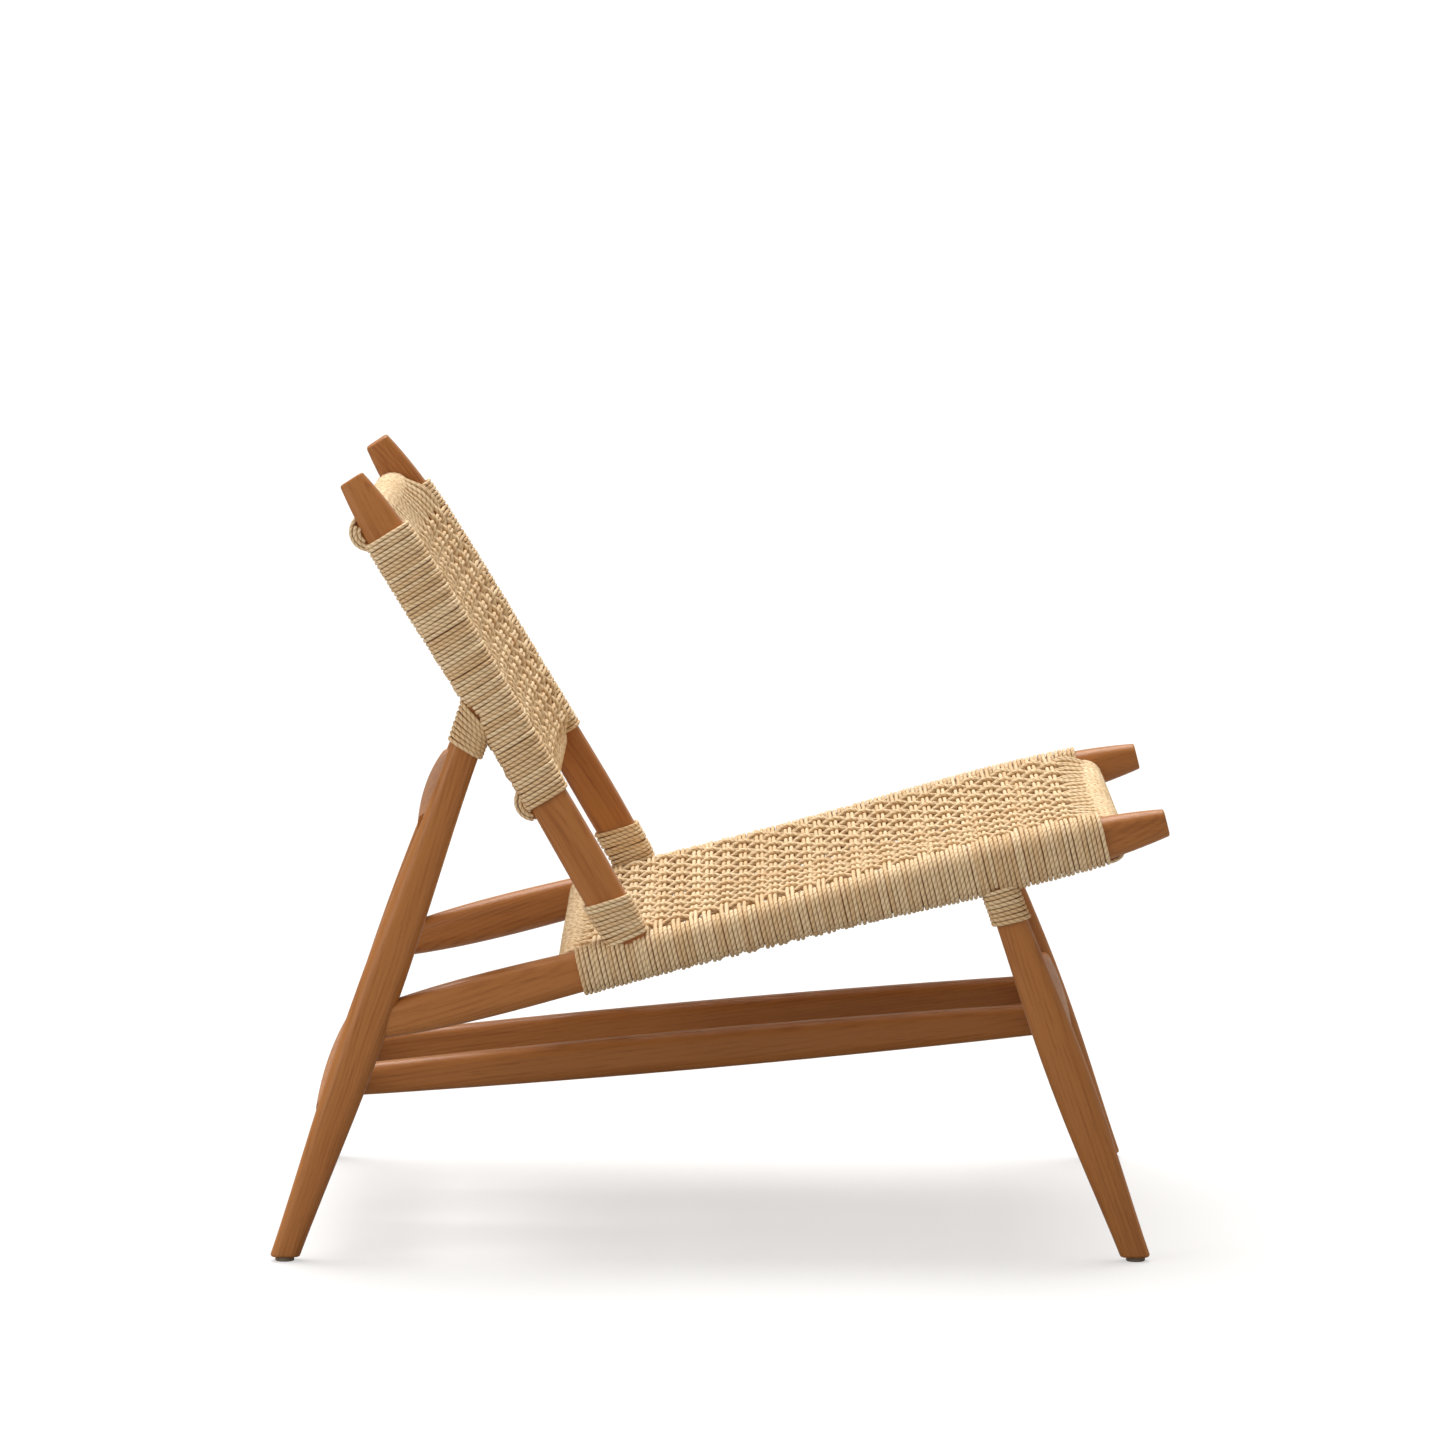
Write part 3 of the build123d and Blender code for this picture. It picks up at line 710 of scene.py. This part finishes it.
        # which cross pair each point is at, going on half a step past the outer ones
        first, last = columnAt[0], columnAt[-1]
        before = np.maximum((along - first) / (columnAt[1] - first), -0.5)
        after = len(columnAt) - 1 + np.minimum((along - last) / (last - columnAt[-2]), 0.5)
        number = np.interp(along, columnAt, np.arange(len(columnAt)))
        number = np.where(along < first, before, np.where(along > last, after, number))
        for group in range(self.groups):
            place = group - (self.groups - 1) / 2
            swing = self.swingAt(number + group)
            opened = (plan["pinched"], plan["spread"] * plan["halfSpread"], plan["spread"])
            for cordInPair in (-1, 1):
                across = place * self.pitchAt(along) + cordInPair * np.interp(swing, (-1, 0, 1), opened) / 2
                layers = []
                for layer in (1, -1):
                    off = self.surface(along, across, layer) - layer * swing * nearBar * plan["warpSwing"]
                    layers.append(panel.place(along, across, off))
                bars = []
                for bar, way in ((panel.length, 1), (0, -1)):
                    atBar = (place + cordInPair / plan["barTurnsPerGroup"]) * self.pitchAt(bar)
                    reach = way * self.overBar
                    bars.append(panel.place(bar + reach * np.cos(around), atBar, reach * np.sin(around)))
                path = smoothed(np.vstack([layers[0], bars[0], layers[1][::-1], bars[1]]), 2)
                woven.lay(path, panel.across, closed=True, loose=plan["loose"])

    def wrapHosts(self):
        # closed turns on the hosts between the pairs
        inPair = {slot for pair in self.pairs for slot in (pair, pair + 1)}
        for side, host in self.hosts.items():
            wrap = CordMesh(cord["hostThickness"])
            for slot, along in enumerate(self.slots):
                if slot in inPair:
                    continue
                middle, radii = self.sections[side, slot]
                lift = cord["lift"] + abs(wobble(0.15 * mm))
                ring = host.turn(along, turnAngles, radii, middle, lift)
                lean = wobble(0.25 * mm) * np.cos(turnAngles + chance.random() * 2 * pi)
                ring = ring + lean[:, None] * np.array(self.panel.run)
                layClear(wrap, ring, host.clear(ring), self.panel.run, True)
            name = self.names["hostPiece"] + side.capitalize()
            wrap.make(name, cordLook, self.names["hostWrap"] + side)

    def barHalf(self, at, node):
        # how far from the chair's middle a bar keeps its full thickness
        panel = self.panel
        points = pointsOf(node) - np.array(panel.place(at, 0, 0))
        fromAxis = np.hypot(points @ np.array(panel.run), points @ np.array(panel.face))
        return np.abs(points[fromAxis > panel.barRadius * 0.9][:, 1]).max()

    def wrapBars(self):
        # closed turns on the bars between the long cords, and rings that close each end
        panel, plan = self.panel, self.plan
        woods = [host.tree for host in self.hosts.values()]
        angles = np.arange(20) * 2 * pi / 20
        perGroup = plan["barTurnsPerGroup"]
        groupShift = (self.groups - 1) / 2 * perGroup
        middle = groupShift % 1  # 0 where a turn lies in the chair's middle

        def layRing(wrap, at, across, reach):
            ring = panel.place(at + reach * np.cos(angles), across, reach * np.sin(angles))
            layClear(wrap, ring, outside(woods, ring), panel.across, True)

        for bar, node in enumerate(self.names["barWraps"]):
            wrap = CordMesh(cord["barThickness"])
            at = bar * panel.length
            pitch = self.pitchAt(at) / perGroup
            half = self.barHalf(at, node.replace("_wrap", ""))
            count = int(half / pitch)
            for turn in range(-count, count + 1):
                place = (turn + middle) * pitch
                fromGroup = (turn + middle - groupShift) % perGroup
                underCord = abs(min(fromGroup, perGroup - fromGroup) - 1) < 0.3
                if underCord and abs(place) < self.between("inner", at) - plan["margin"]:
                    continue
                if abs(place) > half:
                    continue
                reach = self.overBar + wobble(0.08 * mm)
                lean = wobble(0.25 * mm) * np.cos(angles + chance.random() * 2 * pi)
                layRing(wrap, at, place + lean, reach)
            for side in sides.values():
                for ringNumber in range(1, 5):
                    reach = self.overBar - ringNumber * plan["endRingPitch"]
                    layRing(wrap, at, side * (half + plan["endRingOut"]), reach)
            wrap.make(self.names["barPieces"][bar], cordLook, node)

    def make(self):
        woven = CordMesh()
        self.layCrossCords(woven)
        self.layLongCords(woven)
        woven.make(self.names["panel"], cordLook, *self.names["panelNodes"])
        self.wrapHosts()
        self.wrapBars()


cordLook = cordMaterial("paper cord")

seatPlan = {
    "hostPitch": 4.06 * mm,
    "groupPitch": 28.2 * mm,  # between the pairs that run along the panel
    "margin": 4 * mm,  # from the hosts' wrapping to the first group
    "barTurnsPerGroup": 7,
    "turnsPerPair": 3.7,
    "firstPair": 4,
    "lastPair": 5,
    "sampleSlot": 3,  # the turn from each end where the host is measured
    "taut": 5,  # how strongly the hosts hold the panel at their own level
    "sag": 7 * mm,
    "underSag": 4 * mm,
    "rimInset": 8 * mm,  # from the hosts' middle to where the panel is at their level
    "turnInset": 9 * mm,  # from the hosts' middle to where a cross cord's turn starts
    "calmRim": 3 * mm,  # cross cords don't swing this near to the hosts
    "calmFade": 9 * mm,
    "barFade": 20 * mm,  # long cords swing less than this far from a bar
    "endShare": 0.06,  # where the crossing cords stop following the bars down
    "weftSwing": 1.1 * mm,
    "warpSwing": 2.9 * mm,
    "pairOpen": 0.8 * mm,
    "pinched": 3.8 * mm,
    "spread": 9 * mm,
    "halfSpread": 0.85,  # share of the spread half way between over and under
    "loose": 0.35 * mm,
    "step": 3.6 * mm,
    "endRingPitch": 3.8 * mm,
    "endRingOut": 0.6 * mm,
}
backPlan = {**seatPlan, "sag": 6 * mm, "underSag": 0}

seat = Panel("rear_seat_bar", "front_seat_bar", (0, 0, 1))
seatHosts = {}
for sideName, side in sides.items():
    crossed = [
        standing("front_leg_" + sideName, "seat_rail_" + sideName, -1, 9 * mm),
        standing("upright foot " + sideName, "seat_rail_" + sideName, 1, 12 * mm),
    ]
    seatHosts[sideName] = Host(seat, "seat_rail_" + sideName, side, crossed)
seatNames = {
    "panel": "seatWeave",
    "panelNodes": ["seat_weave", "seat_weave_under"],
    "hostWrap": "seat_rail_wrap_",
    "hostPiece": "seatRailWrap",
    "barWraps": ["rear_seat_bar_wrap", "front_seat_bar_wrap"],
    "barPieces": ["rearSeatBarWrap", "frontSeatBarWrap"],
}
Weave(seat, seatHosts, seatNames, seatPlan).make()

back = Panel("lower_back_bar", "top_back_bar", (1, 0, 0))
backHosts = {}
for sideName, side in sides.items():
    crossed = [standing("rear_leg_" + sideName, "upright_" + sideName, -1, 14 * mm)]
    backHosts[sideName] = Host(back, "upright_" + sideName, side, crossed)
backNames = {
    "panel": "backWeave",
    "panelNodes": ["back_weave", "back_weave_under"],
    "hostWrap": "upright_wrap_",
    "hostPiece": "uprightWrap",
    "barWraps": ["lower_back_bar_wrap", "top_back_bar_wrap"],
    "barPieces": ["lowerBackBarWrap", "topBackBarWrap"],
}
Weave(back, backHosts, backNames, backPlan).make()

# Collars round the joints

collars = {
    # tilts are in side view, degrees that the turns rise towards the front
    "upright_collar_": {
        "member": "upright_",
        "line": "upright foot ",
        "join": "seat_rail_",
        "way": 1,
        "first": 21.0 * mm,  # from the joint to the first turn
        "pitch": 4.0 * mm,
        "turns": 10,
        "tilts": (24, 16.5),
        "piece": "uprightCollar",
    },
    "front_leg_collar_": {
        "member": "front_leg_",
        "line": "front_leg_",
        "join": "seat_rail_",
        "way": -1,
        "first": 21.4 * mm,
        "pitch": 4.1 * mm,
        "turns": 8,
        "tilts": (17.4, 14.3),
        "piece": "frontLegCollar",
    },
    "rear_leg_collar_": {
        "member": "rear_leg_",
        "line": "rear_leg_",
        "join": "upright_",
        "way": -1,
        "first": 22.5 * mm,
        "pitch": 4.0 * mm,
        "turns": 8,
        "tilts": (-48, -32),
        "piece": "rearLegCollar",
    },
}


def collar(node, plan, sideName):
    made = CordMesh()
    tree = treeOf(plan["member"] + sideName)
    line = lines[plan["line"] + sideName]
    joint = nearestOnLine(line, lines[plan["join"] + sideName])
    run = (line[1] - line[0]).normalized() * plan["way"]
    firstTilt, lastTilt = plan["tilts"]
    for turn in range(plan["turns"]):
        share = turn / (plan["turns"] - 1)
        tilt = radians(firstTilt + (lastTilt - firstTilt) * share + wobble(0.8))
        level = Vector((cos(tilt), 0, sin(tilt)))
        middle = joint + run * (plan["first"] + plan["pitch"] * turn)
        normal = level.cross(Vector((0, 1, 0))).normalized()
        across = normal.cross(level)
        path = []
        reach = cord["lift"] + abs(wobble(0.2 * mm))
        for angle in turnAngles:
            direction = level * cos(angle) + across * sin(angle)
            path.append(middle + direction * (surfaceFrom(tree, middle, direction) + reach))
        made.lay(path, normal, closed=True)
    made.make(plan["piece"] + sideName.capitalize(), cordLook, node + sideName)


for node, plan in collars.items():
    for sideName in sides:
        collar(node, plan, sideName)

# Wood and glides

crosswise = (
    "rear_low_stretcher",
    "rear_high_stretcher",
    "front_low_stretcher",
    "front_seat_bar",
    "rear_seat_bar",
    "top_back_bar",
    "lower_back_bar",
)


def dress(name, look):
    cadNodes[name].data.materials.clear()
    cadNodes[name].data.materials.append(look)


grains = {name: line[1] - line[0] for name, line in lines.items() if name in cadNodes}
grains.update({name: Vector((0, 1, 0)) for name in crosswise})
for number, name in enumerate(sorted(grains)):
    dress(name, woodMaterial("oiled wood " + name.replace("_", " "), grains[name], 0.7 * number))
glideLook = glideMaterial()
for name in cadNodes:
    if "glide" in name:
        dress(name, glideLook)
print("wood and glides finished:", len(grains))

# Floor and light

studio = {
    "floor": (0.36, 0.36, 0.36, 1.0),
    "floorReach": 40,
    "floorGlow": (0.55, 0.55, 0.55, 1.0),  # only as seen, so it lights nothing
    "sky": 0.5,
    "skyColour": (1.0, 0.91, 0.8, 1.0),
    "backdrop": 1.05,  # the sky's strength as seen
    "key": 3.6,
    "keyFrom": (-0.12, 0.4, 1.0),
    "keySoftness": 50,  # degrees
    "fill": 11.0,
    "fillFrom": (-1.7, -1.5, 1.0),
    "fillSize": 1.2,
}


def seenByCamera(graph):
    return graph.value(graph.node("ShaderNodeLightPath").outputs["Is Camera Ray"])


def makeLamp(name, kind, energy, comesFrom):
    data = bpy.data.lights.new(name, kind)
    data.energy = energy
    lamp = bpy.data.objects.new(name, data)
    bpy.context.collection.objects.link(lamp)
    lamp.location = comesFrom
    lamp.rotation_mode = "QUATERNION"
    lamp.rotation_quaternion = (-Vector(comesFrom)).to_track_quat("-Z", "Y")
    return data


def makeFloor():
    mesh = bpy.data.meshes.new("floor")
    reach = studio["floorReach"]
    corners = [(-reach, -reach, 0), (reach, -reach, 0), (reach, reach, 0), (-reach, reach, 0)]
    mesh.from_pydata(corners, [], [(0, 1, 2, 3)])
    floor = bpy.data.objects.new("floor", mesh)
    bpy.context.collection.objects.link(floor)
    look = bpy.data.materials.new("pale floor")
    graph = Graph(look)
    glow = graph.mix(seenByCamera(graph), (0, 0, 0, 1), studio["floorGlow"])
    dull = {"Roughness": 0.9, "Specular IOR Level": 0.1}
    graph.surface({"Base Color": studio["floor"], "Emission Color": glow, "Emission Strength": 1.0, **dull})
    mesh.materials.append(look)
    floor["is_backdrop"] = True


def makeSky():
    world = bpy.data.worlds.new("studio")
    bpy.context.scene.world = world
    graph = Graph(world)
    seen = seenByCamera(graph)
    strength = seen * (studio["backdrop"] - studio["sky"]) + studio["sky"]
    colour = graph.mix(seen, studio["skyColour"], (1, 1, 1, 1))
    shader = graph.node("ShaderNodeBackground", {}, {"Color": colour, "Strength": strength})
    graph.node("ShaderNodeOutputWorld", {}, {"Surface": shader.outputs[0]})


makeFloor()
makeSky()
makeLamp("key", "SUN", studio["key"], studio["keyFrom"]).angle = radians(studio["keySoftness"])
makeLamp("fill", "AREA", studio["fill"], studio["fillFrom"]).size = studio["fillSize"]
bpy.context.scene.view_settings.view_transform = "Standard"
print("studio built")

low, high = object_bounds()
